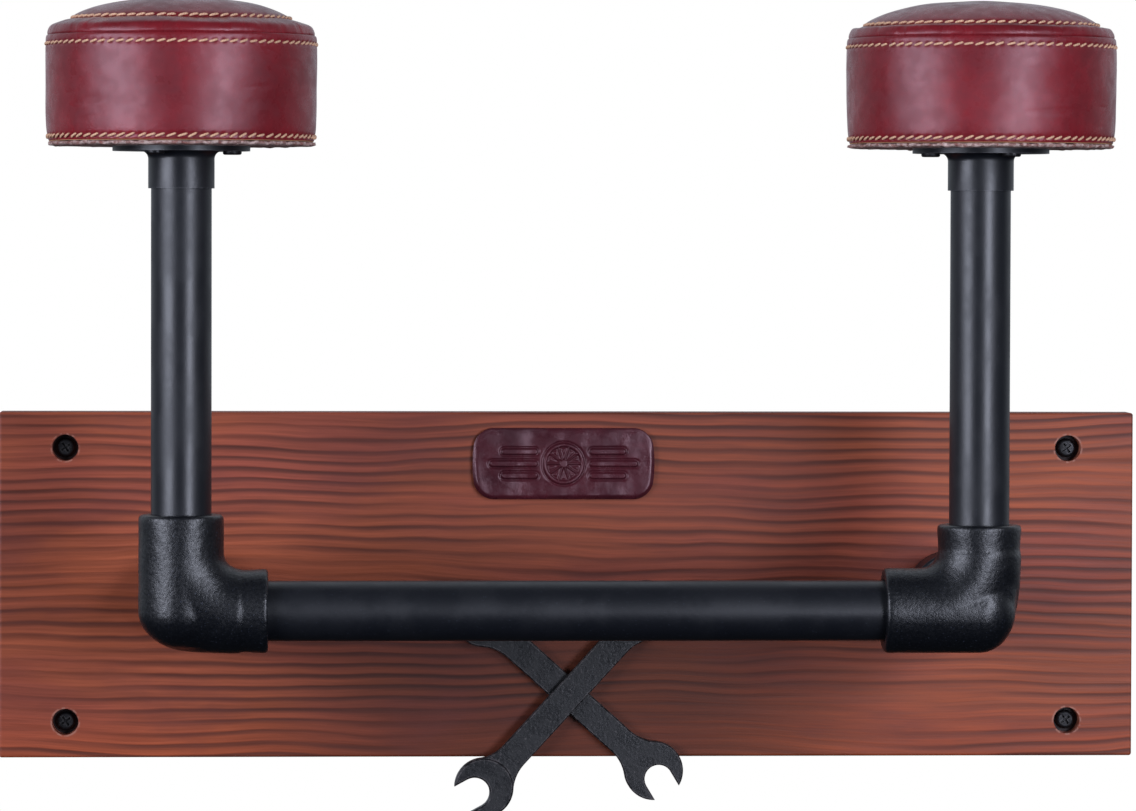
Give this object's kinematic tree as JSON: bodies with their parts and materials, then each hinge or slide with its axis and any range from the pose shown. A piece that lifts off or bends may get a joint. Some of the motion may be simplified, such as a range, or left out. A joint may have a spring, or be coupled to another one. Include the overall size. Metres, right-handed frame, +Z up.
{
  "type": "bicycle wall rack",
  "caption": "Wall-mounted rack: stained timber board, black iron pipe frame, round leather-padded post tops, a crossbar, crossed spanners and a leather badge.",
  "frame": {"origin": "middle of the board's back face, which lies on the wall; the middle of the wall-screw pattern", "axes": "+X along the board to the viewer's right, +Y into the wall, +Z up; the frame and pads stand out along -Y"},
  "size_m": [0.527, 0.2225, 0.3751],
  "materials": {
    "stained_timber": "satin",
    "burgundy_leather": "satin",
    "raw_leather": "matte",
    "plywood": "matte",
    "foam": "matte",
    "black_pipe_paint": "satin",
    "black_cast_iron": "satin",
    "black_tool_steel": "satin",
    "black_screw_steel": "satin",
    "zinc_steel": "satin"
  },
  "bodies": {
    "root": {"back_board": "stained_timber", "crossbar_pipe": "black_pipe_paint", "front_spanner": "black_tool_steel", "leather_badge": "burgundy_leather", "left_elbow": "black_cast_iron", "left_pad_band": "burgundy_leather", "left_pad_base": "plywood", "left_pad_bottom": "raw_leather", "left_pad_flange": "black_pipe_paint", "left_pad_foam": "foam", "left_pad_screws": "black_screw_steel", "left_pad_top": "burgundy_leather", "left_standoff_pipe": "black_pipe_paint", "left_standoff_socket": "black_pipe_paint", "left_upright_pipe": "black_pipe_paint", "rear_spanner": "black_tool_steel", "right_elbow": "black_cast_iron", "right_pad_band": "burgundy_leather", "right_pad_base": "plywood", "right_pad_bottom": "raw_leather", "right_pad_flange": "black_pipe_paint", "right_pad_foam": "foam", "right_pad_screws": "black_screw_steel", "right_pad_top": "burgundy_leather", "right_standoff_pipe": "black_pipe_paint", "right_standoff_socket": "black_pipe_paint", "right_upright_pipe": "black_pipe_paint", "spanner_screws": "black_screw_steel", "spanner_spacer": "black_tool_steel", "spanner_washers": "black_screw_steel", "standoff_bolts": "zinc_steel", "standoff_washers": "zinc_steel", "wall_screws": "black_screw_steel"}
  },
  "joints": []
}
